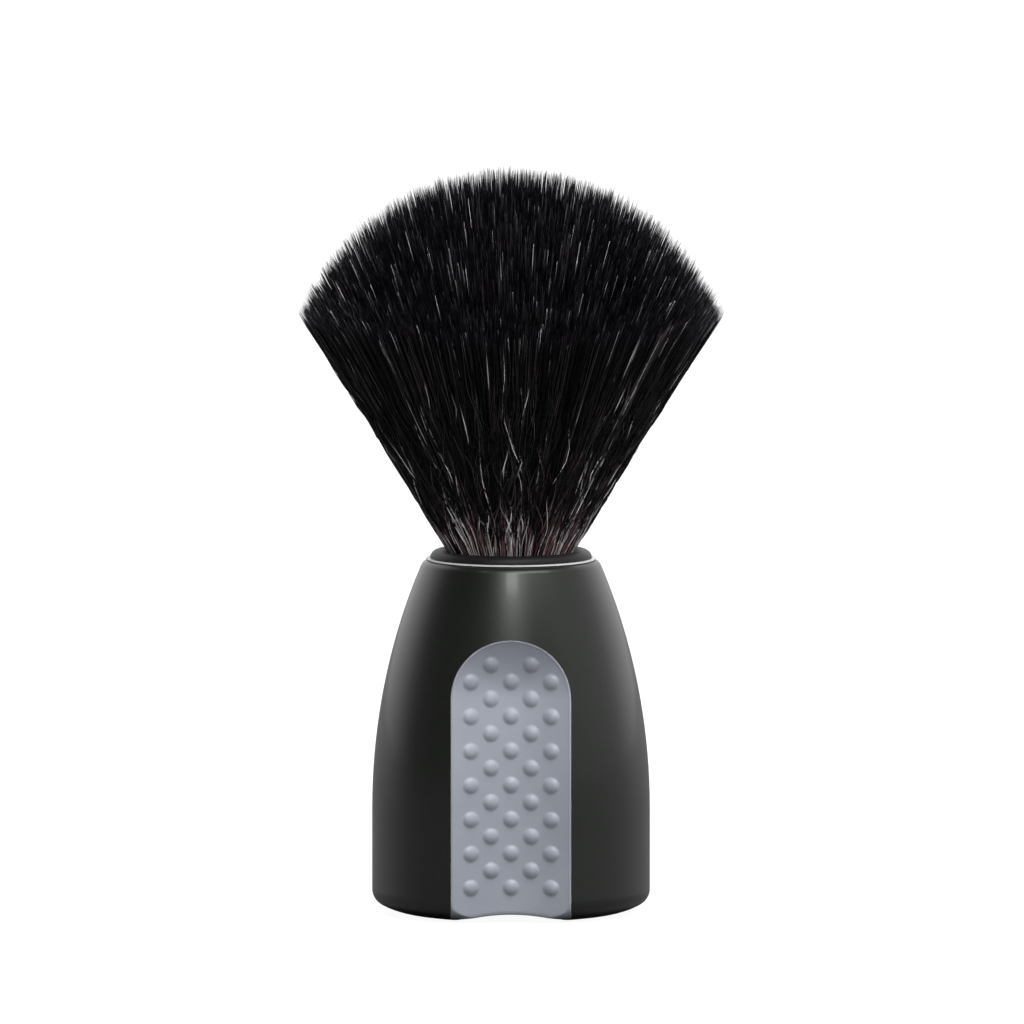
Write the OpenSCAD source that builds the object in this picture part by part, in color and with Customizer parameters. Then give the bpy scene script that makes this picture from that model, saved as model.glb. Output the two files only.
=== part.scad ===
// Shaving brush: a fan-shaped synthetic fibre knot in a screw-in cup, on a
// short tapered hand-held handle with a soft studded grip front and back.
// Millimetres. +Z up along the brush axis, origin at the centre of the foot,
// the front grip faces -Y.

/* [Handle] */
// Largest radius of the handle, on its straight lower part
body_r = 20; // [20]
// Height of the handle's top face above the foot
body_h = 51; // [51]
// Height at which the straight side starts to curve in
taper_z = 15; // [15]
// Radius of the long lower arc that tapers the side
taper_arc = 92; // [92]
// Radius of the upper arc of the taper
upper_arc = 87.9; // [87.9]
// Radius of the shoulder rounding
shoulder_r = 1.4; // [1.4]
// Radius of the foot circle, where the bottom rounding starts
foot_r = 13.65; // [13.65]
// Height of the bottom rounding
foot_round_h = 3.35; // [3.35]
// Tight radius of the bottom rounding, next to the side
foot_tight_r = 2.35; // [2.35]
// Wide radius of the bottom rounding, next to the foot
foot_wide_r = 10.85; // [10.85]

/* [Grips] */
// Half the width of a grip, and the radius of its arched top
grip_r = 8.7; // [8.5:0.1:8.8]
// Height of the centre of the arched top
grip_arch_z = 32.2; // [31.5:0.1:32.5]
// Depth of the scoop below the round of the handle, on its centre line
scoop_d = 4.1; // [3.9:0.05:4.2]
// Radius of the scoop across the grip
scoop_r = 18.6; // [18:0.1:19]
// Distance of the grip pocket's floor from the axis, at the foot
pocket_y = 14.4; // [14.3:0.05:14.5]
// Tilt of the pocket's floor towards the axis, in degrees
pocket_tilt = 2.9; // [2.7:0.1:3]
// Height of the drain arch under each grip
arch_h = 1.15; // [0.8:0.05:1.3]
// Radius of a grip stud at its foot
stud_r = 1.14; // [1:0.02:1.2]
// Height of a grip stud
stud_h = 0.5; // [0.4:0.05:0.6]
// Distance between rows of grip studs
stud_pitch_z = 2.46; // [2.4:0.02:2.5]
// Half the distance between neighbouring studs in a row
stud_pitch_x = 2.87; // [2.7:0.01:2.9]
// Height of the top row of grip studs
stud_top_z = 37.1; // [36.9:0.1:37.2]
// Number of rows of grip studs
stud_rows = 14; // [10:1:14]

/* [Head socket] */
// Radius of the socket bore for the knot cup
socket_r = 10.4; // [10.38:0.01:10.45]
// Height of the socket floor, which is the top of the thread insert
socket_z = 34.4; // [34.2:0.1:34.4]
// Nominal radius of the head's thread
thread_r = 7; // [6.5:0.1:7.2]
// Radial running clearance between stud and insert
thread_gap = 0.05; // [0.03:0.01:0.08]
// Length of the thread insert
insert_len = 9; // [8.5:0.1:9]
// Outer radius of the thread insert
insert_r = 8.6; // [8.5:0.05:8.8]

// Outer radius of the seal's thin lip, which stands out under the collar
seal_r = 12.2; // [11.8:0.05:12.3]

/* [Knot] */
// Radius of the fibre bundle where it leaves the collar
knot_r = 9.05; // [8.9:0.01:9.1]
// Half-angle of the fanned knot, in degrees
fan_angle = 32.3; // [30:0.1:33]
// Height at which the fan's side lines would meet on the axis
fan_apex_z = 37.7; // [37.5:0.1:38]
// Radius of the domed tip surface
dome_r = 32; // [30:0.5:34]
// Overall height of the brush
total_h = 107.5; // [105:0.5:108]
// Height of the point about which the fan flexes
flex_z = 50; // [49.5:0.1:50.5]
// Radius of the ball surface between the held neck and the moving fan
flex_r = 16; // [15.8:0.1:16.2]
// Gap between the held neck and the moving fan
flex_gap = 0.25; // [0.2:0.05:0.4]

/* [Base] */
// Radius of the recess in the underside
recess_r = 13; // [12.9:0.05:13.1]
// Depth of the recess below the base cap
recess_d = 1.6; // [1.2:0.1:1.8]
// Radius of the hollow that holds the ballast
hollow_r = 11.9; // [11.5:0.1:12]
// Height of the ballast disc
ballast_h = 7; // [5:0.5:7]

/* [Hidden] */
$fn = 96;

fan_slope = tan(fan_angle);
// The outline's arcs meet tangent. The two taper arcs' centres lie on one line
// of slope 9 to 40, and the two foot arcs' centres on one of slope 15 to 8.
arc_cx = body_r - taper_arc;
upper_cx = arc_cx + (taper_arc - upper_arc) * 40 / 41;
upper_cz = taper_z + (taper_arc - upper_arc) * 9 / 41;
upper_z = taper_z + taper_arc * 9 / 41;
shoulder_z = body_h - shoulder_r;
// radius of the flat top face, where the shoulder rounding starts
top_face_r = upper_cx + sqrt(pow(upper_arc - shoulder_r, 2)
                             - pow(shoulder_z - upper_cz, 2));
shoulder_tz = upper_cz + (shoulder_z - upper_cz)
              * upper_arc / (upper_arc - shoulder_r);
foot_tx = foot_r + foot_wide_r * 8 / 17;
// scoop cutter: distance of its centre line from the axis, and of its end
scoop_y = body_r - scoop_d + scoop_r;
scoop_major = taper_arc - scoop_d + scoop_r;
scoop_end = asin((grip_arch_z - taper_z) / taper_arc);
scoop_rise = scoop_d - grip_r * grip_r / (2 * taper_arc);
scoop_minor = (grip_r * grip_r + scoop_rise * scoop_rise) / (2 * scoop_rise);
arch_r = (grip_r * grip_r + arch_h * arch_h) / (2 * arch_h);
cap_z = recess_d;
cap_t = 1.4;
gasket_t = 0.4;
ledge_z = cap_z + cap_t + gasket_t;
ballast_z = ledge_z + 0.6;
web_z = 19.4;
cup_z = socket_z + 0.2;
cup_floor = 3;
plug_top = 45;
seal_lip = 0.2;
bead_r = 1.2;
bead_c = 10.45;
stud_ball = (stud_r * stud_r + stud_h * stud_h) / (2 * stud_h);

// outer radius of the handle at height z, above the foot rounding
function side_r(z) = z < taper_z ? body_r
    : z < upper_z ? arc_cx + sqrt(pow(taper_arc, 2) - pow(z - taper_z, 2))
    : upper_cx + sqrt(pow(upper_arc, 2) - pow(z - upper_cz, 2));
// distance from the grip's centre line, or from the centre of its arched end
function grip_rho(x, z) = z < grip_arch_z ? abs(x)
    : sqrt(x * x + (z - grip_arch_z) * (z - grip_arch_z));
// distance of the scooped surface from the plane through the axis
function scoop_at(x, z) = sqrt(side_r(z) * side_r(z) - x * x)
    - scoop_d * (1 - pow(grip_rho(x, z) / grip_r, 2));

module box2(x0, z0, x1, z1) {
    translate([x0, z0]) square([x1 - x0, z1 - z0]);
}

// half section of the handle's outside, radius along X and height along Y;
// neighbouring pieces overlap inside the outline
module handle_section() {
    box2(0, 0, foot_r, foot_round_h + 1);
    intersection() {
        translate([foot_r, foot_wide_r]) circle(r = foot_wide_r, $fn = 360);
        box2(foot_r - 1, 0, foot_tx, foot_round_h + 1);
    }
    intersection() {
        translate([body_r - foot_tight_r, foot_round_h])
            circle(r = foot_tight_r, $fn = 180);
        box2(foot_tx - 0.5, 0, body_r + 1, foot_round_h + 1);
    }
    box2(0, foot_round_h, body_r, taper_z);
    intersection() {
        translate([arc_cx, taper_z]) circle(r = taper_arc, $fn = 1440);
        box2(0, taper_z - 1, body_r + 1, upper_z);
    }
    intersection() {
        translate([upper_cx, upper_cz]) circle(r = upper_arc, $fn = 1440);
        box2(0, upper_z - 1, body_r + 1, shoulder_tz);
    }
    box2(0, shoulder_tz - 2, top_face_r, body_h);
    intersection() {
        translate([top_face_r, shoulder_z])
            circle(r = shoulder_r, $fn = 180);
        box2(top_face_r - 1, shoulder_tz - 0.5, top_face_r + 4, body_h + 1);
    }
}

module handle_outside() {
    rotate_extrude($fn = 180) handle_section();
}

module disc(r, z0, z1) {
    translate([0, 0, z0]) cylinder(r = r, h = z1 - z0);
}

module ring(ro, ri, z0, z1) {
    difference() {
        disc(ro, z0, z1);
        translate([0, 0, z0 - 1]) cylinder(r = ri, h = z1 - z0 + 2);
    }
}

// arched outline of a grip, standing up and reaching from the axis to the front
module grip_outline() {
    rotate([90, 0, 0]) linear_extrude(height = 24) {
        translate([0, grip_arch_z]) circle(r = grip_r, $fn = 180);
        translate([-grip_r, -1]) square([2 * grip_r, grip_arch_z + 1]);
    }
}

// everything in front of the pocket's tilted floor
module before_pocket_floor() {
    translate([0, -pocket_y, 0]) rotate([-pocket_tilt, 0, 0])
        translate([-15, -30, -10]) cube([30, 30, 70]);
}

// the space of a grip before its scoop is cut
module grip_space() {
    intersection() {
        grip_outline();
        before_pocket_floor();
    }
}

// cutter of the thumb scoop: straight at the foot, then following the taper,
// and closed by a rounded end
module scoop_cutter() {
    translate([0, -scoop_y, -2])
        cylinder(r = scoop_r, h = taper_z + 2, $fn = 180);
    translate([0, taper_arc - body_r, taper_z]) rotate([0, 90, 0])
        rotate([0, 0, 180])
            rotate_extrude(angle = scoop_end, $fn = 720)
                translate([scoop_major, 0]) circle(r = scoop_r, $fn = 180);
    translate([0, taper_arc - body_r - scoop_major * cos(scoop_end),
               taper_z + scoop_major * sin(scoop_end)])
        rotate([-scoop_end, 0, 0])
            rotate_extrude($fn = 180) intersection() {
                translate([scoop_r - scoop_minor, 0])
                    circle(r = scoop_minor, $fn = 180);
                translate([0, -scoop_r]) square([2 * scoop_r, 2 * scoop_r]);
            }
}

// rounded cutter of the drain arch, along Y from y0 to y1
module drain_arch(y0, y1) {
    translate([0, y1, arch_h - arch_r]) rotate([90, 0, 0])
        cylinder(r = arch_r, h = y1 - y0, $fn = 360);
}

module grip_studs() {
    for (row = [0 : stud_rows - 1])
        for (k = row % 2 == 0 ? [-1, 1] : [-2, 0, 2]) {
            z = stud_top_z - row * stud_pitch_z;
            x = k * stud_pitch_x;
            translate([x, stud_ball - stud_h - scoop_at(x, z), z])
                sphere(r = stud_ball, $fn = 48);
        }
}

module grip() {
    difference() {
        intersection() {
            handle_outside();
            grip_space();
        }
        scoop_cutter();
        drain_arch(-22, -10);
    }
    intersection() {
        grip_studs();
        before_pocket_floor();
    }
}

module handle_shell() {
    color([0.16, 0.17, 0.16]) difference() {
        handle_outside();
        // underside recess, gasket ledge and ballast hollow
        disc(recess_r, -1, ledge_z);
        difference() {
            disc(hollow_r, ledge_z - 1, web_z);
            disc(4.5, ballast_z + ballast_h + 0.1, web_z + 1);
        }
        // pilot hole for the ballast screw
        disc(1.75, ballast_z, socket_z - insert_len - 1);
        // bore for the thread insert, socket for the knot cup, seal groove
        disc(insert_r, socket_z - insert_len, socket_z + 1);
        disc(socket_r, socket_z, body_h + 1);
        disc(11.4, body_h - 0.9, body_h + 1);
        // grip pockets and drain arches, front and back
        for (a = [0, 180]) rotate([0, 0, a]) {
            grip_space();
            intersection() {
                drain_arch(-22, -10);
                translate([-grip_r, -22, -1]) cube([2 * grip_r, 12, 4]);
            }
        }
    }
}

module front_grip() {
    color([0.56, 0.58, 0.63]) grip();
}

module rear_grip() {
    color([0.56, 0.58, 0.63]) rotate([0, 0, 180]) grip();
}

// pressed into the handle from above
module thread_insert() {
    color([0.78, 0.62, 0.3]) difference() {
        ring(insert_r, thread_r, socket_z - insert_len, socket_z);
        translate([0, 0, socket_z - 0.8])
            cylinder(r1 = thread_r, r2 = thread_r + 0.9, h = 0.9);
    }
}

module ballast_weight() {
    color([0.45, 0.46, 0.47]) difference() {
        disc(hollow_r - 0.2, ballast_z, ballast_z + ballast_h);
        disc(2.1, ballast_z - 1, ballast_z + ballast_h + 1);
        disc(5, ballast_z - 1, ballast_z + 3.4);
    }
}

module ballast_washer() {
    color([0.7, 0.71, 0.72]) ring(4.6, 1.9, ballast_z + 2.6, ballast_z + 3.4);
}

module ballast_screw() {
    color([0.6, 0.61, 0.63]) difference() {
        union() {
            disc(3.3, ballast_z + 0.4, ballast_z + 2.6);
            disc(1.75, ballast_z + 2, socket_z - insert_len - 1.2);
        }
        for (a = [0, 90]) rotate([0, 0, a])
            translate([-2, -0.35, ballast_z]) cube([4, 0.7, 1.6]);
    }
}

module base_gasket() {
    color([0.12, 0.12, 0.12])
        ring(recess_r - 0.1, hollow_r + 0.05, cap_z + cap_t, ledge_z);
}

module base_cap() {
    color([0.13, 0.13, 0.13]) {
        disc(recess_r - 0.05, cap_z, cap_z + cap_t);
        ring(hollow_r - 0.1, hollow_r - 1.1, cap_z + 1, ledge_z + 0.4);
    }
}

// pale ring that closes the joint under the collar: a square foot in the
// handle's groove, and a thin lip that shows as a light line round the joint
module head_seal() {
    color([0.85, 0.86, 0.88]) rotate_extrude($fn = 180) {
        box2(socket_r + 0.02, body_h - 0.86, 11.3, body_h + seal_lip);
        box2(socket_r + 0.02, body_h + 0.02, seal_r, body_h + seal_lip);
    }
}

module knot_cup() {
    color([0.08, 0.08, 0.08]) difference() {
        disc(socket_r - 0.1, cup_z, 46.8);
        disc(9.4, cup_z + cup_floor, 48);
        disc(thread_r - thread_gap, cup_z - 1, cup_z + cup_floor);
        disc(8.2, cup_z + 1, cup_z + cup_floor + 1);
    }
}

module threaded_stud() {
    color([0.75, 0.76, 0.78]) difference() {
        union() {
            disc(thread_r - thread_gap, socket_z - insert_len + 0.7, cup_z + 2);
            disc(8.2, cup_z + 1, cup_z + cup_floor);
        }
        // hollow to save weight
        disc(4.5, socket_z - insert_len - 1, cup_z + 1);
    }
}

// glossy bead around the fibres, with a skirt that caps the knot cup
module collar_ring() {
    color([0.05, 0.05, 0.05]) rotate_extrude($fn = 180) difference() {
        union() {
            intersection() {
                translate([bead_c, body_h + 0.2]) circle(r = bead_r, $fn = 120);
                box2(9.4, body_h + seal_lip + 0.02, 14, body_h + 2);
            }
            box2(9.4, 46.8, socket_r - 0.1, body_h + seal_lip + 0.1);
        }
    }
}

module resin_plug() {
    color([0.35, 0.27, 0.18]) disc(9.4, cup_z + cup_floor, plug_top);
}

// wound around the fibre ends just above the plug
module binding_thread() {
    color([0.7, 0.68, 0.62]) rotate_extrude() intersection() {
        for (i = [0 : 5])
            translate([knot_r + 0.16, plug_top + 0.3 + i * 0.28])
                circle(r = 0.18, $fn = 32);
        box2(knot_r, plug_top, knot_r + 0.34, plug_top + 3);
    }
}

module fan_cone() {
    polygon([[0, fan_apex_z], [0, total_h + 5],
             [(total_h + 5 - fan_apex_z) * fan_slope, total_h + 5]]);
}

// lower end of the fibre bundle, which stays with the collar
module fibre_neck() {
    color([0.1, 0.09, 0.09]) rotate_extrude() intersection() {
        polygon([[0, plug_top], [knot_r, plug_top],
                 [knot_r, fan_apex_z + knot_r / fan_slope],
                 [(80 - fan_apex_z) * fan_slope, 80], [0, 80]]);
        translate([0, flex_z]) circle(r = flex_r - flex_gap / 2, $fn = 180);
    }
}

// the fanned part of the fibre bundle, which flexes
module fibre_fan() {
    color([0.06, 0.05, 0.06]) rotate_extrude() difference() {
        intersection() {
            fan_cone();
            translate([0, total_h - dome_r]) circle(r = dome_r, $fn = 360);
            box2(0, 40, 60, 120);
        }
        translate([0, flex_z]) circle(r = flex_r + flex_gap / 2, $fn = 180);
    }
}

handle_shell();
front_grip();
rear_grip();
thread_insert();
ballast_weight();
ballast_washer();
ballast_screw();
base_gasket();
base_cap();
head_seal();
knot_cup();
threaded_stud();
collar_ring();
resin_plug();
binding_thread();
fibre_neck();
fibre_fan();
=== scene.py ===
import math

import bpy
import numpy as np
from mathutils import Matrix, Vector
from mathutils.kdtree import KDTree


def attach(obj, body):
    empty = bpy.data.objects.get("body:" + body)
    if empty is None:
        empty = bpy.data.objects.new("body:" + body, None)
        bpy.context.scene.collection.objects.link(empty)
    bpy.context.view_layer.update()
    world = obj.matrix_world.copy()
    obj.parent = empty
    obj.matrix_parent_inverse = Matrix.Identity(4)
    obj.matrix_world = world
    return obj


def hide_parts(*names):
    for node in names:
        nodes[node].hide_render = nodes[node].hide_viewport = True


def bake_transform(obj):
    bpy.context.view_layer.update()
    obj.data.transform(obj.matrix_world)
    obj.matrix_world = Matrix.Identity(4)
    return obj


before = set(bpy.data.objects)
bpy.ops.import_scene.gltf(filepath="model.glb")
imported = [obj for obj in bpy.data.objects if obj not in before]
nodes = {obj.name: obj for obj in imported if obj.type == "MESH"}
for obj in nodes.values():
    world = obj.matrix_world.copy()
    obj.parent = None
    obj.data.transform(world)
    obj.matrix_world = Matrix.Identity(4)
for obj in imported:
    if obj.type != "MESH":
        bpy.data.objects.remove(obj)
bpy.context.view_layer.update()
MM = 0.001
TAU = 2 * math.pi


# ---------------------------------------------------------------- materials

class Mat:
    """A Principled material with short calls for its nodes."""

    def __init__(self, name, **values):
        self.m = bpy.data.materials.new(name)
        self.m.use_nodes = True
        self.t = self.m.node_tree
        self.t.nodes.clear()
        self.out = self.add("OutputMaterial")
        self.b = self.add("BsdfPrincipled")
        self.link(self.b.outputs[0], self.out.inputs[0])
        for k, v in values.items():
            self.b.inputs[k.replace("_", " ")].default_value = v

    def add(self, kind, **props):
        n = self.t.nodes.new("ShaderNode" + kind)
        for k, v in props.items():
            setattr(n, k, v)
        return n

    def link(self, a, b):
        self.t.links.new(a, b)
        return b

    def put(self, socket, value):
        """Links a socket, or sets a number or colour."""
        if isinstance(value, bpy.types.NodeSocket):
            self.link(value, socket)
        else:
            socket.default_value = value

    def place(self, scale=(1, 1, 1), uv=False):
        c = self.add("TexCoord")
        src = c.outputs["UV" if uv else "Object"]
        if tuple(scale) == (1, 1, 1):
            return src
        mp = self.add("Mapping")
        self.link(src, mp.inputs["Vector"])
        mp.inputs["Scale"].default_value = scale
        return mp.outputs[0]

    def noise(self, vec, scale, detail=2.0, rough=0.5, dims="3D"):
        n = self.add("TexNoise", noise_dimensions=dims)
        self.put(n.inputs["Vector"], vec)
        n.inputs["Scale"].default_value = scale
        n.inputs["Detail"].default_value = detail
        n.inputs["Roughness"].default_value = rough
        return n.outputs[0]

    def cells(self, vec, scale, out="Distance", feature="F1"):
        n = self.add("TexVoronoi", feature=feature)
        self.put(n.inputs["Vector"], vec)
        n.inputs["Scale"].default_value = scale
        return n.outputs[out]

    def remap(self, value, a, b, c, d, smooth=False):
        n = self.add("MapRange")
        if smooth:
            n.interpolation_type = "SMOOTHSTEP"
        self.put(n.inputs["Value"], value)
        for k, v in zip(("From Min", "From Max", "To Min", "To Max"), (a, b, c, d)):
            self.put(n.inputs[k], v)
        return n.outputs[0]

    def math(self, op, a, b=0.0, clamp=False):
        n = self.add("Math", operation=op, use_clamp=clamp)
        self.put(n.inputs[0], a)
        self.put(n.inputs[1], b)
        return n.outputs[0]

    def mix(self, fac, a, b):
        n = self.add("Mix", data_type="RGBA")
        self.put(n.inputs[0], fac)
        for s, v in ((n.inputs[6], a), (n.inputs[7], b)):
            if isinstance(v, bpy.types.NodeSocket):
                self.link(v, s)
            else:
                s.default_value = (*v, 1.0)
        return n.outputs[2]

    def axis(self, k, uv=False):
        n = self.add("SeparateXYZ")
        self.link(self.place(uv=uv), n.inputs[0])
        return n.outputs[k]

    def bump(self, height, distance, strength=1.0, after=None):
        n = self.add("Bump")
        n.inputs["Strength"].default_value = strength
        n.inputs["Distance"].default_value = distance
        self.link(height, n.inputs["Height"])
        if after is not None:
            self.link(after, n.inputs["Normal"])
        return n.outputs[0]

    def set(self, socket, value):
        self.put(self.b.inputs[socket], value)


def handle_plastic():
    """Dark lacquered plastic with a very fine metallic grain."""
    m = Mat("handle_plastic", Metallic=0.0, IOR=1.5, Coat_Weight=0.10, Coat_Roughness=0.09, Coat_IOR=1.5)
    m.b.inputs["Specular Tint"].default_value = (0.95, 1.0, 0.95, 1.0)
    p = m.place()
    fine = m.noise(p, 7000, 2, 0.6)
    flake = m.cells(p, 9000, "Color")
    sep = m.add("SeparateColor")
    m.link(flake, sep.inputs[0])
    spark = m.remap(sep.outputs[0], 0.80, 1.0, 0.0, 1.0)
    broad = m.noise(p, 55, 3, 0.5)
    base = m.mix(m.remap(fine, 0.3, 0.7, 0, 1), (0.0048, 0.0056, 0.0048), (0.0080, 0.0090, 0.0078))
    base = m.mix(m.math("MULTIPLY", spark, 0.3), base, (0.030, 0.033, 0.030))
    # the lower edge is rubbed a little where the brush stands and is wiped
    z = m.axis(2)
    wear = m.math("MULTIPLY", m.remap(z, 0.0005, 0.004, 1, 0, True), m.remap(m.noise(p, 900, 4, 0.65), 0.52, 0.7, 0, 1))
    base = m.mix(m.math("MULTIPLY", wear, 0.5), base, (0.045, 0.045, 0.044))
    m.set("Base Color", base)
    rough = m.math("ADD", m.remap(broad, 0.3, 0.7, 0.345, 0.385), m.math("MULTIPLY", m.math("SUBTRACT", fine, 0.5), 0.10))
    rough = m.math("ADD", rough, m.math("MULTIPLY", wear, 0.12), True)
    m.set("Roughness", rough)
    n = m.bump(m.noise(p, 5200, 1, 0.5), 0.000003, 0.5)
    n = m.bump(broad, 0.00003, 0.25, n)
    m.set("Normal", n)
    return m.m


def grip_rubber(name="grip_rubber", painted_highlight_gain=1.0):
    """Grey soft moulded rubber, matt, with a fine spark-eroded grain."""
    m = Mat(name, IOR=1.47)
    p = m.place()
    fine = m.noise(p, 4200, 3, 0.6)
    broad = m.noise(p, 110, 3, 0.55)
    c = m.mix(m.remap(broad, 0.3, 0.7, 0, 1), (0.285, 0.305, 0.352), (0.315, 0.336, 0.386))
    c = m.mix(m.remap(fine, 0.35, 0.65, 0, 0.35), c, (0.262, 0.281, 0.325))
    dust = m.math("MULTIPLY", m.remap(m.cells(p, 900), 0.0, 0.12, 1, 0), 0.35)
    c = m.mix(dust, c, (0.36, 0.375, 0.41))
    # a painted_highlight_gain above 1 mixes the colour towards pale pink-grey: a painted highlight, used for the rim
    # line
    m.set("Base Color", m.mix(1.0 - 1.0 / painted_highlight_gain, c, (0.80, 0.74, 0.76)))
    m.set("Roughness", m.math("ADD", m.remap(broad, 0.3, 0.7, 0.42, 0.50), m.math("MULTIPLY", m.math("SUBTRACT", fine, 0.5), 0.14)))
    n = m.bump(m.noise(p, 3600, 2, 0.55), 0.000010, 0.6)
    m.set("Normal", n)
    return m.m


def gloss_plastic(name, base, rough, grain=2600, depth=0.000004):
    m = Mat(name, IOR=1.5)
    p = m.place()
    fine = m.noise(p, grain, 3, 0.6)
    broad = m.noise(p, 140, 3, 0.5)
    light = tuple(min(1, c * 1.6 + 0.002) for c in base)
    m.set("Base Color", m.mix(m.remap(fine, 0.3, 0.7, 0, 1), base, light))
    m.set("Roughness", m.math("ADD", m.remap(broad, 0.3, 0.7, rough, rough + 0.06), m.math("MULTIPLY", m.math("SUBTRACT", fine, 0.5), 0.08)))
    m.set("Normal", m.bump(fine, depth, 0.5))
    return m.m


def soft_rubber(name, base):
    m = Mat(name, IOR=1.5)
    p = m.place()
    fine = m.noise(p, 3800, 3, 0.6)
    m.set("Base Color", m.mix(m.remap(fine, 0.3, 0.7, 0, 1), base, tuple(c * 1.7 + 0.004 for c in base)))
    m.set("Roughness", m.remap(m.noise(p, 400, 3), 0.3, 0.7, 0.62, 0.78))
    m.set("Normal", m.bump(fine, 0.00001, 0.7))
    return m.m


def silicone():
    """Pale cloudy silicone, which lets light in a little way."""
    m = Mat("seal_silicone", IOR=1.41, Subsurface_Weight=0.25, Subsurface_Scale=0.0006)
    m.b.inputs["Subsurface Radius"].default_value = (1.0, 0.95, 0.9)
    p = m.place()
    cloud = m.noise(p, 700, 4, 0.6)
    m.set("Base Color", m.mix(m.remap(cloud, 0.3, 0.7, 0, 1), (0.74, 0.75, 0.77), (0.82, 0.825, 0.84)))
    m.set("Roughness", m.remap(m.noise(p, 2400, 3), 0.3, 0.7, 0.30, 0.42))
    m.set("Normal", m.bump(cloud, 0.000008, 0.5))
    return m.m


def turned_metal(name, base, dark, rough, pitch=5200.0):
    """Metal with fine turning marks round the Z axis, and light tarnish."""
    m = Mat(name, Metallic=1.0)
    p = m.place()
    v = m.add("VectorMath", operation="LENGTH")
    flat = m.add("VectorMath", operation="MULTIPLY")
    m.link(p, flat.inputs[0])
    flat.inputs[1].default_value = (1, 1, 0)
    m.link(flat.outputs[0], v.inputs[0])
    comb = m.add("CombineXYZ")
    m.link(v.outputs["Value"], comb.inputs[0])
    m.link(m.axis(2), comb.inputs[1])
    rings = m.noise(comb.outputs[0], pitch, 2, 0.6)
    tarnish = m.noise(p, 260, 5, 0.62)
    m.set("Base Color", m.mix(m.remap(tarnish, 0.42, 0.68, 0, 0.8), base, dark))
    m.set("Roughness", m.math("ADD", m.remap(tarnish, 0.35, 0.7, rough, rough + 0.16), m.math("MULTIPLY", m.math("SUBTRACT", rings, 0.5), 0.14)))
    m.set("Normal", m.bump(rings, 0.000006, 0.7))
    return m.m


def resin_material():
    m = Mat("knot_resin", IOR=1.55, Coat_Weight=0.4, Coat_Roughness=0.12)
    p = m.place()
    cloud = m.noise(p, 320, 4, 0.6)
    bubbles = m.remap(m.cells(p, 1500), 0.05, 0.16, 1, 0)
    c = m.mix(m.remap(cloud, 0.3, 0.7, 0, 1), (0.16, 0.10, 0.045), (0.30, 0.20, 0.10))
    m.set("Base Color", m.mix(m.math("MULTIPLY", bubbles, 0.5), c, (0.45, 0.35, 0.2)))
    m.set("Roughness", m.remap(cloud, 0.3, 0.7, 0.18, 0.34))
    m.set("Normal", m.bump(m.math("ADD", cloud, m.math("MULTIPLY", bubbles, -0.4)), 0.00006, 0.6))
    return m.m


def thread_material():
    """Waxed twisted thread, its twist seen as fine slanted strokes, with painted shade in the grooves between them."""
    m = Mat("waxed_thread", IOR=1.45, Sheen_Weight=0.3)
    g = m.add("TexGradient", gradient_type="RADIAL")
    m.link(m.place(), g.inputs[0])
    w = m.math("FRACT", m.math("ADD", m.math("MULTIPLY", g.outputs[1], 190), m.math("MULTIPLY", m.axis(2), 3300)))
    ridge = m.remap(m.math("ABSOLUTE", m.math("SUBTRACT", w, 0.5)), 0.0, 0.5, 1, 0)
    fine = m.noise(m.place(), 5200, 3, 0.6)
    # paler on the crests of the twist and darker in the grooves, following the bump: painted shade in the grooves
    c = m.mix(ridge, (0.30, 0.27, 0.21), (0.52, 0.49, 0.42))
    m.set("Base Color", m.mix(m.remap(fine, 0.4, 0.7, 0, 0.4), c, (0.24, 0.21, 0.16)))
    m.set("Roughness", m.remap(fine, 0.3, 0.7, 0.5, 0.75))
    m.set("Normal", m.bump(ridge, 0.00005, 0.8))
    return m.m


def fibre_material(name, root, body, tip, rough, shine, painted_glint=None, painted_glint_amount=0.0):
    """Smooth synthetic filament. Map U is the fibre's own number and V runs
    along it from 0 at the collar to 1 at the tip, so colour changes with
    length. The lighter passages, painted glints for light caught along a fibre, sit differently on every fibre."""
    m = Mat(name, IOR=1.49, Specular_IOR_Level=shine)
    v = m.axis(1, uv=True)
    reach = m.noise(m.place((811.0, 0.4, 1), uv=True), 1.0, 1, 0.4)
    far = m.math("SUBTRACT", v, m.remap(reach, 0.3, 0.7, -0.10, 0.26))
    c = m.mix(m.remap(far, -0.02, 0.16, 0, 1, True), root, body)
    c = m.mix(m.remap(v, 0.86, 1.0, 0, 1, True), c, tip)
    rnd = m.noise(m.place((977.0, 9.0, 1), uv=True), 1.0, 2, 0.6)
    c = m.mix(m.remap(rnd, 0.38, 0.62, 0.5, 0.0), c, tuple(x * 0.35 for x in body))
    # painted glint: some passages along a fibre are mixed towards the lighter glint colour, standing in for light
    # caught by the fibre
    if painted_glint is not None:
        line = m.noise(m.place((613.0, 3.6, 1), uv=True), 1.0, 2, 0.4)
        rare = m.remap(v, 0.15, 0.5, 0.02, 0.058)
        c = m.mix(m.math("MULTIPLY", m.remap(m.math("SUBTRACT", line, rare), 0.50, 0.60, 0, 1), painted_glint_amount), c, painted_glint)
    m.set("Base Color", c)
    m.set("Roughness", m.remap(rnd, 0.3, 0.7, rough - 0.05, rough + 0.06))
    return m.m


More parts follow.
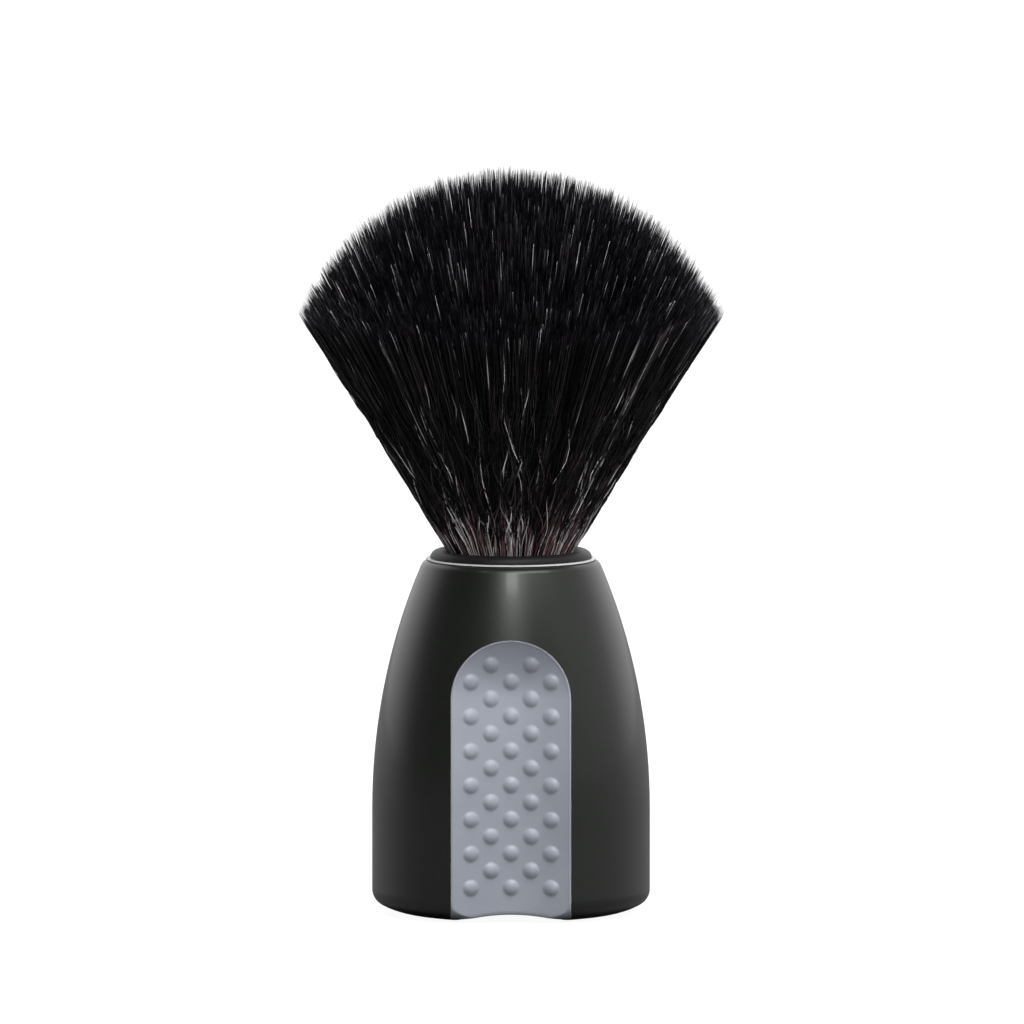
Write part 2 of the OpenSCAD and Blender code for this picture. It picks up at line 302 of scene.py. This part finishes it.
M_HANDLE = handle_plastic()
M_GRIP = grip_rubber()
M_GRIP_PAINTED_HIGHLIGHT = grip_rubber("grip_rubber_painted_rim_highlight", 1.7)  # painted highlight: a thin line along the rim where the rubber is painted a shade paler, for the light its rounded rim catches
M_COLLAR = gloss_plastic("collar_plastic", (0.0065, 0.0062, 0.0065), 0.46, 3200, 0.000004)
M_COLLAR.node_tree.nodes["Principled BSDF"].inputs["Specular IOR Level"].default_value = 0.25
M_CUP = gloss_plastic("cup_plastic", (0.010, 0.010, 0.010), 0.34)
M_BASE = gloss_plastic("base_plastic", (0.013, 0.013, 0.013), 0.48, 2600, 0.000012)
M_SEAL = soft_rubber("seal_rubber", (0.010, 0.010, 0.010))
M_SILICONE = silicone()
M_BRASS = turned_metal("brass", (0.72, 0.52, 0.22), (0.42, 0.27, 0.11), 0.24)
M_STUD = turned_metal("stud_metal", (0.66, 0.67, 0.69), (0.40, 0.40, 0.40), 0.26)
M_BALLAST = turned_metal("ballast_steel", (0.33, 0.33, 0.34), (0.20, 0.18, 0.16), 0.42, 3400)
M_ZINC = turned_metal("zinc_steel", (0.62, 0.64, 0.67), (0.46, 0.46, 0.43), 0.30)
M_RESIN = resin_material()
M_THREAD = thread_material()
M_BLACK = fibre_material("fibre_black", (0.0060, 0.0042, 0.0062), (0.0014, 0.0014, 0.0032), (0.0032, 0.0030, 0.0055), 0.28, 0.18)
# the brown is these fibres' own colour; their paler brown passages are painted glints
M_BROWN = fibre_material("fibre_brown", (0.34, 0.18, 0.20), (0.009, 0.006, 0.008), (0.010, 0.008, 0.011), 0.30, 0.40,
                         (0.24, 0.15, 0.15), 0.35)
# pale fibres: their near-white colour at the collar, their streaks and their grey tips are painted glints for light
# caught by the fibres
M_GLINT_FIBRE = fibre_material("fibre_painted_glint", (0.92, 0.87, 0.89), (0.012, 0.012, 0.016), (0.10, 0.10, 0.115), 0.22, 0.70,
                         (0.95, 0.92, 0.92), 1.0)
FIBRE_MATS = [M_BLACK, M_BROWN, M_GLINT_FIBRE]


def dress(node, material):
    o = nodes[node]
    o.data.materials.clear()
    o.data.materials.append(material)


for n, mat in (("handle_shell", M_HANDLE), ("thread_insert", M_BRASS), ("ballast_weight", M_BALLAST),
               ("ballast_washer", M_ZINC), ("ballast_screw", M_ZINC), ("base_gasket", M_SEAL),
               ("base_cap", M_BASE), ("head_seal", M_SILICONE), ("knot_cup", M_CUP), ("threaded_stud", M_STUD),
               ("collar_ring", M_COLLAR), ("resin_plug", M_RESIN), ("binding_thread", M_THREAD),
               ("front_grip", M_GRIP), ("rear_grip", M_GRIP), ("fibre_neck", M_BLACK), ("fibre_fan", M_BLACK)):
    dress(n, mat)


# ------------------------------------------------------------------- meshes

def mesh_object(name, verts, tris, mats, mat_index=None, uv=None, smooth=True):
    """A mesh from vertices in millimetres and faces that all have the same number of corners. uv is one pair per vertex."""
    verts = np.asarray(verts, float)
    tris = np.asarray(tris, np.int64)
    me = bpy.data.meshes.new(name)
    me.vertices.add(len(verts))
    me.vertices.foreach_set("co", (verts * MM).astype(np.float32).ravel())
    me.loops.add(tris.size)
    me.loops.foreach_set("vertex_index", tris.astype(np.int32).ravel())
    me.polygons.add(len(tris))
    me.polygons.foreach_set("loop_start", (np.arange(len(tris)) * tris.shape[1]).astype(np.int32))
    me.update(calc_edges=True)
    for m in mats:
        me.materials.append(m)
    if mat_index is not None:
        me.polygons.foreach_set("material_index", np.asarray(mat_index, np.int32))
    me.polygons.foreach_set("use_smooth", np.full(len(tris), smooth))
    if uv is not None:
        layer = me.uv_layers.new(name="UVMap", do_init=False)
        layer.uv.foreach_set("vector", np.asarray(uv, np.float32)[tris.ravel()].ravel())
    me.update()
    o = bpy.data.objects.new(name, me)
    bpy.context.scene.collection.objects.link(o)
    return o


def smoothstep(x, a, b):
    t = np.clip((x - a) / (b - a), 0, 1)
    return t * t * (3 - 2 * t)


# the handle's outline and the grip's surface, as in part.scad (millimetres)
TAPER_Z, TAPER_ARC, BODY_R = 15.0, 92.0, 20.0
ARC_CX = BODY_R - TAPER_ARC
UPPER_ARC = 87.9
UPPER_CX = ARC_CX + (TAPER_ARC - UPPER_ARC) * 40 / 41
UPPER_CZ = TAPER_Z + (TAPER_ARC - UPPER_ARC) * 9 / 41
UPPER_Z = TAPER_Z + TAPER_ARC * 9 / 41


def side_r(z):
    z = np.asarray(z, float)
    low = ARC_CX + np.sqrt(np.maximum(TAPER_ARC ** 2 - (z - TAPER_Z) ** 2, 0))
    high = UPPER_CX + np.sqrt(np.maximum(UPPER_ARC ** 2 - (z - UPPER_CZ) ** 2, 0))
    return np.where(z < TAPER_Z, BODY_R, np.where(z < UPPER_Z, low, high))


def outer_r(z):
    """side_r with the rounding at the foot."""
    z = np.asarray(z, float)
    wide = 13.65 + np.sqrt(np.maximum(10.85 ** 2 - (10.85 - z) ** 2, 0))
    tight = 17.65 + np.sqrt(np.maximum(2.35 ** 2 - (3.35 - z) ** 2, 0))
    return np.where(z < 1.277, wide, np.where(z < 3.35, tight, side_r(z)))


GRIP_R, GRIP_Z, SCOOP = 8.7, 32.2, 4.1
STUD_R, STUD_H = 1.14, 0.5
STUD_BALL = (STUD_R ** 2 + STUD_H ** 2) / (2 * STUD_H)
ARCH_R = (GRIP_R ** 2 + 1.15 ** 2) / (2 * 1.15)


def studs():
    found = []
    for row in range(14):
        for k in ((-1, 1) if row % 2 == 0 else (-2, 0, 2)):
            found.append((k * 2.87, 37.1 - row * 2.46))
    return np.array(found)


def grip_mesh():
    """The front grip: scooped studded face, rounded rim, side walls down to
    the pocket floor and a closed back, as one surface of quads."""
    gap = 0.02  # moulding shrinkage that leaves the fine dark line round the grip
    R = GRIP_R - gap
    rim, foot_rim = 0.28, 0.7
    # across: close together at the rim, then even
    edge = rim * (1 - np.cos(np.linspace(0, math.pi / 2, 8)))
    inner = np.linspace(edge[-1], R, 73)[1:]
    half = np.concatenate([edge, inner]) / R          # 0 at the rim, 1 at the centre line
    s = np.concatenate([half - 1, (1 - half)[::-1][1:]])
    zlow = np.concatenate([np.array([0.0]), 0.04 * np.arange(1, 12), np.linspace(0.5, 2.0, 16)[1:]])
    zmid = np.linspace(2.0, GRIP_Z, 198)[1:]
    th = np.concatenate([np.linspace(0, math.radians(80), 64)[1:], np.radians([82, 84, 86, 87.5, 88.8, 89.6])])
    zarch = GRIP_Z + R * np.sin(th)
    width = np.concatenate([np.full(len(zlow) + len(zmid), R), R * np.cos(th)])
    zs = np.concatenate([zlow, zmid, zarch])
    S, Z0 = np.meshgrid(s, zs)
    W = np.meshgrid(s, width)[1]
    X = S * W
    # the lower edge follows the drain arch, and that lift fades out above it
    arch = np.maximum(ARCH_R - np.sqrt(ARCH_R ** 2 - X ** 2), 0)
    # and its corners end where the handle's rounded foot meets the pocket floor
    reach = np.sqrt(X ** 2 + 14.85 ** 2) - 13.65
    low = np.maximum(1.15 - arch + 0.02, 10.87 - np.sqrt(10.85 ** 2 - reach ** 2))
    fade = np.clip(1 - Z0 / 9.0, 0, 1) ** 2
    Z = Z0 + low * fade
    rho = np.where(Z < GRIP_Z, np.abs(X), np.hypot(X, Z - GRIP_Z))
    D = np.maximum(R - rho, 0)                          # distance in from the rim
    face = np.sqrt(side_r(Z) ** 2 - X ** 2) - SCOOP * (1 - np.minimum(rho / GRIP_R, 1) ** 2)
    foot = np.sqrt(np.maximum(outer_r(Z) ** 2 - X ** 2, 0))
    k = 0.3
    face = np.minimum(face, foot) - np.maximum(k - np.abs(face - foot), 0) ** 2 / (4 * k)
    # studs with a small fillet at the foot
    bump = np.zeros_like(face)
    for sx, sz in studs():
        q2 = (X - sx) ** 2 + (Z - sz) ** 2
        near = q2 < 1.9 ** 2
        q = np.sqrt(q2[near])
        cap = np.sqrt(np.maximum(STUD_BALL ** 2 - q ** 2, 0)) - (STUD_BALL - STUD_H)
        cap = np.where(q > STUD_BALL * 0.98, -0.8, cap)
        f = 0.16
        soft = np.where(cap > f, cap, np.where(cap > -f, (cap + f) ** 2 / (4 * f), 0.0))
        bump[near] = np.maximum(bump[near], soft)
    drop = np.where(D < rim, rim - np.sqrt(np.maximum(rim ** 2 - (rim - np.minimum(D, rim)) ** 2, 0)), 0)
    B = Z - low                                         # height above the arched lower edge
    drop_low = np.where(B < foot_rim, foot_rim - np.sqrt(np.maximum(foot_rim ** 2 - (foot_rim - np.clip(B, 0, foot_rim)) ** 2, 0)), 0)
    lip = 0.07 * np.clip(1 - np.abs(D - 0.30) / 0.22, 0, 1) ** 1.5
    Y = face + bump + lip * smoothstep(Z, 0.9, 2.5) - drop - 0.4 * drop_low
    rows, cols = X.shape
    floor = -(14.4 - math.tan(math.radians(2.9)) * Z) - 0.03
    front = np.stack([X, np.minimum(-Y, floor - 0.05), Z], -1)
    # walls: rings from the rim back to the pocket floor
    loop = ([(0, j) for j in range(cols)] + [(i, cols - 1) for i in range(1, rows)]
            + [(rows - 1, j) for j in range(cols - 2, -1, -1)] + [(i, 0) for i in range(rows - 2, 0, -1)])
    index = np.arange(rows * cols).reshape(rows, cols)
    verts = [front.reshape(-1, 3)]
    quads = [np.stack([index[:-1, :-1], index[:-1, 1:], index[1:, 1:], index[1:, :-1]], -1).reshape(-1, 4)]
    rim_ids = np.array([index[i, j] for i, j in loop])
    rim_pts = front.reshape(-1, 3)[rim_ids]
    back_y = floor.reshape(-1)[rim_ids]
    before = rim_ids
    count = rows * cols
    for t in (0.12, 0.35, 0.65, 1.0):
        ring = rim_pts.copy()
        ring[:, 1] = rim_pts[:, 1] * (1 - t) + back_y * t
        ids = count + np.arange(len(ring))
        verts.append(ring)
        quads.append(np.stack([np.roll(before, -1), before, ids, np.roll(ids, -1)], -1))
        before = ids
        count += len(ring)
    # the back: the same rows on the pocket floor, coarser
    back = np.stack([X, floor, Z], -1)
    step_ids = -np.ones((rows, cols), np.int64)
    for (i, j), v in zip(loop, before):
        step_ids[i, j] = v
    inner_ids = [(i, j) for i in range(1, rows - 1) for j in range(1, cols - 1)]
    base = count
    step_ids[1:-1, 1:-1] = base + np.arange(len(inner_ids)).reshape(rows - 2, cols - 2)
    verts.append(back[1:-1, 1:-1].reshape(-1, 3))
    quads.append(np.stack([step_ids[:-1, :-1], step_ids[1:, :-1], step_ids[1:, 1:], step_ids[:-1, 1:]], -1).reshape(-1, 4))
    quads = np.concatenate(quads)
    mid = np.concatenate(verts)[quads].mean(1)
    edge = R - np.where(mid[:, 2] < GRIP_Z, np.abs(mid[:, 0]), np.hypot(mid[:, 0], mid[:, 2] - GRIP_Z))
    # faces within 0.17 mm of the rim take the paler rubber: a painted highlight along the rounded rim
    painted_rim_highlight = np.zeros(len(quads), np.int32)
    painted_rim_highlight[:(rows - 1) * (cols - 1)] = (edge < 0.17)[:(rows - 1) * (cols - 1)]
    return np.concatenate(verts), quads, painted_rim_highlight


def build_grips():
    v, q, painted_rim_highlight = grip_mesh()
    front = mesh_object("front_grip_soft", v, q, [M_GRIP, M_GRIP_PAINTED_HIGHLIGHT], painted_rim_highlight)
    turned = v * np.array([-1, -1, 1])
    rear = mesh_object("rear_grip_soft", turned, q, [M_GRIP, M_GRIP_PAINTED_HIGHLIGHT], painted_rim_highlight)
    for o, n in ((front, "front_grip"), (rear, "rear_grip")):
        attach(o, "handle")
        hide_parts(n)


build_grips()


# ------------------------------------------------------------------- fibres

MOUTH_Z = 52.4
DOME_Z, DOME_R = 75.5, 31.75


def knot_r(z):
    """Radius of the outermost fibres at height z."""
    t = np.asarray(z, float) - MOUTH_Z
    return np.where(t < -0.45, 9.04, 9.3 + 0.58 * t + 0.0014 * np.maximum(t, 0) ** 2)


def tip_height(u, dome):
    """Height at which a fibre of root share u reaches a ball of radius dome."""
    lo, hi = np.full_like(u, 70.0), np.full_like(u, 112.0)
    for _ in range(40):
        mid = (lo + hi) / 2
        out = (u * knot_r(mid)) ** 2 + (mid - DOME_Z) ** 2 * np.sign(mid - DOME_Z) > dome ** 2
        hi = np.where(out, mid, hi)
        lo = np.where(out, lo, mid)
    return (lo + hi) / 2


def tubes(centre, radius, turn, sides=3):
    """Closed tubes round centre lines. centre (n, k, 3), radius (n, k)."""
    n, k, _ = centre.shape
    t = np.empty_like(centre)
    t[:, 1:-1] = centre[:, 2:] - centre[:, :-2]
    t[:, 0] = centre[:, 1] - centre[:, 0]
    t[:, -1] = centre[:, -1] - centre[:, -2]
    t /= np.linalg.norm(t, axis=2, keepdims=True)
    mean = centre[:, -1] - centre[:, 0]
    mean /= np.linalg.norm(mean, axis=1, keepdims=True)
    side = np.cross(mean, np.array([0.31, 0.77, 0.12]))
    side /= np.linalg.norm(side, axis=1, keepdims=True)
    up = np.cross(mean, side)
    ref = side * np.cos(turn)[:, None] + up * np.sin(turn)[:, None]
    a = ref[:, None] - (ref[:, None] * t).sum(2, keepdims=True) * t
    a /= np.linalg.norm(a, axis=2, keepdims=True)
    b = np.cross(t, a)
    ang = np.arange(sides) * TAU / sides
    ring = (a[:, :, None] * np.cos(ang)[None, None, :, None] + b[:, :, None] * np.sin(ang)[None, None, :, None])
    verts = centre[:, :, None] + ring * radius[:, :, None, None]
    one = []
    for i in range(k - 1):
        for s in range(sides):
            p, q = i * sides + s, i * sides + (s + 1) % sides
            one += [(p, q, q + sides), (p, q + sides, p + sides)]
    one += [(0, 2, 1), ((k - 1) * sides, (k - 1) * sides + 1, (k - 1) * sides + 2)]
    one = np.array(one)
    tris = (one[None] + (np.arange(n) * k * sides)[:, None, None]).reshape(-1, 3)
    return verts.reshape(-1, 3), tris, len(one)


def clumped(disc, rng, count, pull):
    """Each fibre's neighbour point, where the tips of a small tuft draw together."""
    r = np.sqrt(rng.random(count))
    a = rng.random(count) * TAU
    centres = np.stack([r * np.cos(a), r * np.sin(a)], 1)
    tree = KDTree(count)
    for i, c in enumerate(centres):
        tree.insert((c[0], c[1], 0), i)
    tree.balance()
    pick = np.array([tree.find((d[0], d[1], 0))[1] for d in disc])
    k = np.clip(rng.normal(pull, 0.2, count), 0.0, 0.9)
    rise = np.clip(rng.normal(0, 0.3, count), -0.8, 0.6)
    return centres[pick], k[pick], rise[pick]


def fibres(n, seed, u_low, u_high, depth, ks, wave, thick, shares, fly=0.0, spread=0.95):
    """n fibres with root share u between u_low and u_high. depth is how far
    below the tip they start (None: from inside the collar)."""
    rng = np.random.default_rng(seed)
    u = np.sqrt(u_low ** 2 + (u_high ** 2 - u_low ** 2) * rng.random(n))
    phi = rng.random(n) * TAU
    disc = np.stack([u * np.cos(phi), u * np.sin(phi)], 1)
    target, pull, rise = clumped(disc, rng, 6500, 0.42)
    dome = DOME_R + 0.40 + rise - rng.gamma(1.5, 0.52, n).clip(0, 3.8)
    z1 = tip_height(u, dome)
    z0 = np.full(n, 50.6) if depth is None else z1 - depth * (0.8 + 0.4 * rng.random(n))
    s = ks[None, :]
    z = z0[:, None] + (z1 - z0)[:, None] * s
    full = (z - 50.6) / (z1[:, None] - 50.6)
    near_tip = smoothstep(full, 0.60, 1.0)
    drift = np.clip(rng.normal(0, 0.014, (n, 2)) * rng.gamma(1.5, 0.8, (n, 1)), -0.025, 0.025)
    grow = smoothstep(full, 0.03, 0.5)
    d = disc[:, None] + (target - disc)[:, None] * (pull[:, None] * near_tip)[:, :, None] + drift[:, None] * grow[:, :, None]
    # nothing but a few stray fibres leaves the outline
    m = np.linalg.norm(d, axis=2)
    lim = 1.0 + fly * (rng.random(n) ** 10)[:, None] * grow
    over = m > lim
    d[over] *= (lim / m)[over][:, None]
    r = knot_r(z)
    x, y = d[:, :, 0] * r, d[:, :, 1] * r
    if wave > 0:
        amp = np.minimum(rng.lognormal(math.log(wave), spread, n), 1.5)
        lam = rng.uniform(8, 19, n)
        ph = rng.random((n, 2)) * TAU
        env = smoothstep(z, 52.6, 57.5) * (0.22 + 0.78 * (1 - smoothstep(z, 60 + rng.random(n)[:, None] * 12, 82)))
        env *= 1 - 0.6 * smoothstep(full, 0.8, 1.0)
        wa = amp[:, None] * env * np.sin(TAU * z / lam[:, None] + ph[:, :1])
        wb = 0.45 * amp[:, None] * env * np.sin(TAU * z / (lam[:, None] * 0.77) + ph[:, 1:])
        ca, sa = np.cos(phi)[:, None], np.sin(phi)[:, None]
        wb = np.minimum(wb, np.maximum(r * 1.012 - np.hypot(x, y), 0))
        x, y = x - sa * wa + ca * wb, y + ca * wa + sa * wb
    centre = np.stack([x, y, z], 2)
    rad = thick * (0.82 + 0.36 * rng.random(n))
    left = (1 - full) * (z1 - 50.6)[:, None]             # distance to the tip, roughly
    taper = np.clip(left / 6.0, 0, 1) ** 0.75
    radius = rad[:, None] * (0.13 + 0.87 * taper)
    kind = rng.choice(3, n, p=shares)
    # kind 2 are the pale fibres painted as glints, made a little thicker
    radius = radius * np.where(kind == 2, 1.2, 1.0)[:, None]
    verts, tris, per = tubes(centre, radius, rng.random(n) * TAU)
    k = len(ks)
    uv = np.stack([np.repeat(rng.random(n), k * 3), np.repeat(full.reshape(-1), 3)], 1)
    return verts, tris, np.repeat(kind, per), uv, per, k * 3


ROOT_KS = np.concatenate([np.linspace(0, 0.40, 20), np.linspace(0.40, 0.86, 9)[1:], [0.93, 0.975, 1.0]])
SOME_KS = np.concatenate([np.linspace(0, 0.35, 9), np.linspace(0.35, 0.84, 6)[1:], [0.93, 0.975, 1.0]])
TIP_KS = np.array([0.0, 0.35, 0.62, 0.82, 0.94, 1.0])
BATCHES = [
    # shares are black, brown and pale fibres; the pale ones are painted glints
    # name, fibres, seed, u from, u to, depth, samples, wave, radius, shares, stray
    ("strand", 3000, 11, 0.955, 0.995, None, ROOT_KS, 0.20, 0.064, (0.75, 0.24, 0.01), 0.0, 0.95),
    ("inner_strand", 5200, 12, 0.84, 0.975, None, SOME_KS, 0.16, 0.066, (0.87, 0.115, 0.015), 0.0, 0.95),
    # outer layer that carries most of the pale fibres painted as glints
    ("painted_glint_strand", 420, 14, 0.985, 1.006, None, ROOT_KS, 0.50, 0.056, (0.20, 0.42, 0.38), 0.012, 0.75),
    ("tip", 23500, 13, 0.0, 0.97, 11.0, TIP_KS, 0.0, 0.069, (0.885, 0.065, 0.05), 0.0, 0.0),
]
MOST_FACES = 190_000


def bends(o):
    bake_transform(o)


def build_fibres():
    made = []
    for name, n, seed, u0, u1, depth, ks, wave, thick, shares, fly, spread in BATCHES:
        verts, tris, kind, uv, per, rings = fibres(n, seed, u0, u1, depth, ks, wave, thick, shares, fly, spread)
        each = MOST_FACES // per
        for i, a in enumerate(range(0, n, each)):
            b = min(a + each, n)
            o = mesh_object(f"fibre_{name}_{i + 1:02d}", verts[a * rings:b * rings],
                            tris[a * per:b * per] - a * rings, FIBRE_MATS,
                            kind[a * per:b * per], uv[a * rings:b * rings])
            bends(o)
            made.append(o)
    return made


def core_material():
    """What shows between the outer fibres: more fibres, deep in shade."""
    m = Mat("fibre_core", IOR=1.45, Specular_IOR_Level=0.15)
    p = m.place((1, 1, 0.04))
    line = m.noise(p, 5200, 2, 0.6)
    m.set("Base Color", m.mix(m.remap(line, 0.4, 0.7, 0, 1), (0.0015, 0.0013, 0.0016), (0.008, 0.006, 0.007)))
    m.set("Roughness", m.remap(line, 0.3, 0.7, 0.55, 0.75))
    m.set("Normal", m.bump(line, 0.0001, 0.8))
    return m.m


def build_core():
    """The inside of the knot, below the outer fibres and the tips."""
    z = np.concatenate([np.linspace(50.4, 54, 8), np.linspace(54, 84, 40)[1:]])
    r = np.where(z < 53, knot_r(z) * 0.93, knot_r(z) * 0.945 - 0.15)
    top = DOME_R - 4.6
    a0 = math.atan2(z[-1] - DOME_Z, r[-1])
    a = np.linspace(a0, math.pi / 2, 34)[1:]
    far = math.hypot(z[-1] - DOME_Z, r[-1])
    d = far + (top - far) * smoothstep(a, a0, a0 + 0.35)
    z = np.concatenate([z, DOME_Z + d * np.sin(a)])
    r = np.concatenate([r, d * np.cos(a)])
    r[-1] = 0
    seg = 288
    rng = np.random.default_rng(5)
    th = np.arange(seg) * TAU / seg
    ridge = 1 + 0.010 * np.repeat(rng.normal(0, 1, seg)[None], len(z), 0)
    rr = r[:, None] * ridge
    ring = np.stack([rr * np.cos(th), rr * np.sin(th), np.repeat(z[:, None], seg, 1)], -1)[:-1]
    verts = np.concatenate([ring.reshape(-1, 3), [[0, 0, z[-1]], [0, 0, z[0]]]])
    rows = len(z) - 1
    idx = np.arange(rows * seg).reshape(rows, seg)
    nxt = np.roll(idx, -1, 1)
    tris = [np.stack([idx[:-1], nxt[:-1], nxt[1:]], -1).reshape(-1, 3),
            np.stack([idx[:-1], nxt[1:], idx[1:]], -1).reshape(-1, 3),
            np.stack([idx[-1], nxt[-1], np.full(seg, rows * seg)], -1),
            np.stack([nxt[0], idx[0], np.full(seg, rows * seg + 1)], -1)]
    o = mesh_object("fibre_core", verts, np.concatenate(tris), [core_material()])
    bends(o)
    return o


core = build_core()
strands = build_fibres()
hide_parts("fibre_fan", "fibre_neck")


# -------------------------------------------------------------------- stage

def area(name, at, aim, size, power, colour=(1, 1, 1), shape="RECTANGLE"):
    d = bpy.data.lights.new(name, "AREA")
    d.shape = shape
    d.size, d.size_y = size
    d.energy = power
    d.color = colour
    o = bpy.data.objects.new(name, d)
    o.location = at
    o.rotation_mode = "QUATERNION"
    o.rotation_quaternion = (Vector(aim) - Vector(at)).to_track_quat("-Z", "Y")
    bpy.context.scene.collection.objects.link(o)
    return o


def polar(azimuth, elevation, distance, z=0.045):
    a, e = math.radians(azimuth), math.radians(elevation)
    return (math.sin(a) * math.cos(e) * distance, -math.cos(a) * math.cos(e) * distance, z + math.sin(e) * distance)


AIM = (0, 0, 0.045)
area("overhead", polar(0, 84, 0.9), AIM, (0.9, 0.55), 6.9)
area("front_strip", polar(1, 44, 0.8), AIM, (0.17, 0.22), 2.2)
area("key", polar(36, 58, 0.9), AIM, (0.6, 0.5), 5.0)
area("soft_front", polar(-1, 6, 1.6), AIM, (0.66, 0.9), 2.9)

floor_mat = Mat("floor_paper", Roughness=0.75, Specular_IOR_Level=0.2)
floor_mat.set("Base Color", floor_mat.mix(floor_mat.remap(floor_mat.noise(floor_mat.place(), 900, 4, 0.6), 0.3, 0.7, 0, 1), (0.13, 0.13, 0.13), (0.15, 0.15, 0.15)))
floor_mat.b.inputs["Emission Color"].default_value = (1, 1, 1, 1)
# the white sweep is bright to look at, and dim as a source, as if flagged off the object
path = floor_mat.add("LightPath")
floor_mat.set("Emission Strength", floor_mat.remap(path.outputs["Is Camera Ray"], 0, 1, 0.0, 0.94))
me = bpy.data.meshes.new("floor")
S = 40.0
me.from_pydata([(-S, -S, 0), (S, -S, 0), (S, S, 0), (-S, S, 0)], [], [(0, 1, 2, 3)])
me.materials.append(floor_mat.m)
floor = bpy.data.objects.new("floor", me)
floor.location = (0, 0, -0.00002)
bpy.context.scene.collection.objects.link(floor)

scene = bpy.context.scene
world = bpy.data.worlds.new("studio")
scene.world = world
world.use_nodes = True
wt = world.node_tree
wt.nodes.clear()
w_out = wt.nodes.new("ShaderNodeOutputWorld")
w_bg = wt.nodes.new("ShaderNodeBackground")
w_tc = wt.nodes.new("ShaderNodeTexCoord")
w_sep = wt.nodes.new("ShaderNodeSeparateXYZ")
wt.links.new(w_tc.outputs["Generated"], w_sep.inputs[0])


def w_range(value, a, b, c, d):
    n = wt.nodes.new("ShaderNodeMapRange")
    n.interpolation_type = "SMOOTHSTEP"
    wt.links.new(value, n.inputs["Value"])
    for k, v in zip(("From Min", "From Max", "To Min", "To Max"), (a, b, c, d)):
        n.inputs[k].default_value = v
    return n.outputs[0]


def w_math(op, a, b):
    n = wt.nodes.new("ShaderNodeMath")
    n.operation = op
    for s, v in zip(n.inputs, (a, b)):
        if isinstance(v, bpy.types.NodeSocket):
            wt.links.new(v, s)
        else:
            s.default_value = v
    return n.outputs[0]


# white cyclorama behind, dim room in front, and a broad soft panel off to the right
behind = w_range(w_sep.outputs[1], 0.04, 0.60, 0.0, 1.3)
right = w_range(w_sep.outputs[0], 0.40, 0.85, 0.0, 0.72)
away = w_range(w_sep.outputs[1], 0.05, 0.35, 1.0, 0.25)
lit = w_math("ADD", w_math("ADD", behind, w_math("MULTIPLY", right, away)), 0.05)
w_lp = wt.nodes.new("ShaderNodeLightPath")
# soft bounce from the room on matt surfaces, a little more of it from the right
room = w_math("ADD", 0.295, w_math("MULTIPLY", w_sep.outputs[0], 0.16))
lit = w_math("ADD", lit, w_math("MULTIPLY", room, w_lp.outputs["Is Diffuse Ray"]))
w_mix = wt.nodes.new("ShaderNodeMix")
w_mix.data_type = "FLOAT"
wt.links.new(w_lp.outputs["Is Camera Ray"], w_mix.inputs[0])
wt.links.new(lit, w_mix.inputs[2])
w_mix.inputs[3].default_value = 1.0
w_bg.inputs["Color"].default_value = (1, 0.985, 1, 1)
wt.links.new(w_mix.outputs[0], w_bg.inputs["Strength"])
wt.links.new(w_bg.outputs[0], w_out.inputs[0])

scene.view_settings.view_transform = "Standard"
scene.view_settings.look = "None"

cam = bpy.data.cameras.new("camera")
cam.lens = 1500.0
cam.sensor_width = 36.0
cam_obj = bpy.data.objects.new("camera", cam)
scene.collection.objects.link(cam_obj)
elev = math.radians(5.4)
aim = Vector((0.00014, 0, 0.0578))
back = Vector((0, -math.cos(elev), math.sin(elev)))
cam_obj.location = aim + back * 6.1375
cam_obj.rotation_mode = "QUATERNION"
cam_obj.rotation_quaternion = (-back).to_track_quat("-Z", "Y")
cam.clip_start, cam.clip_end = 0.1, 200.0
scene.camera = cam_obj
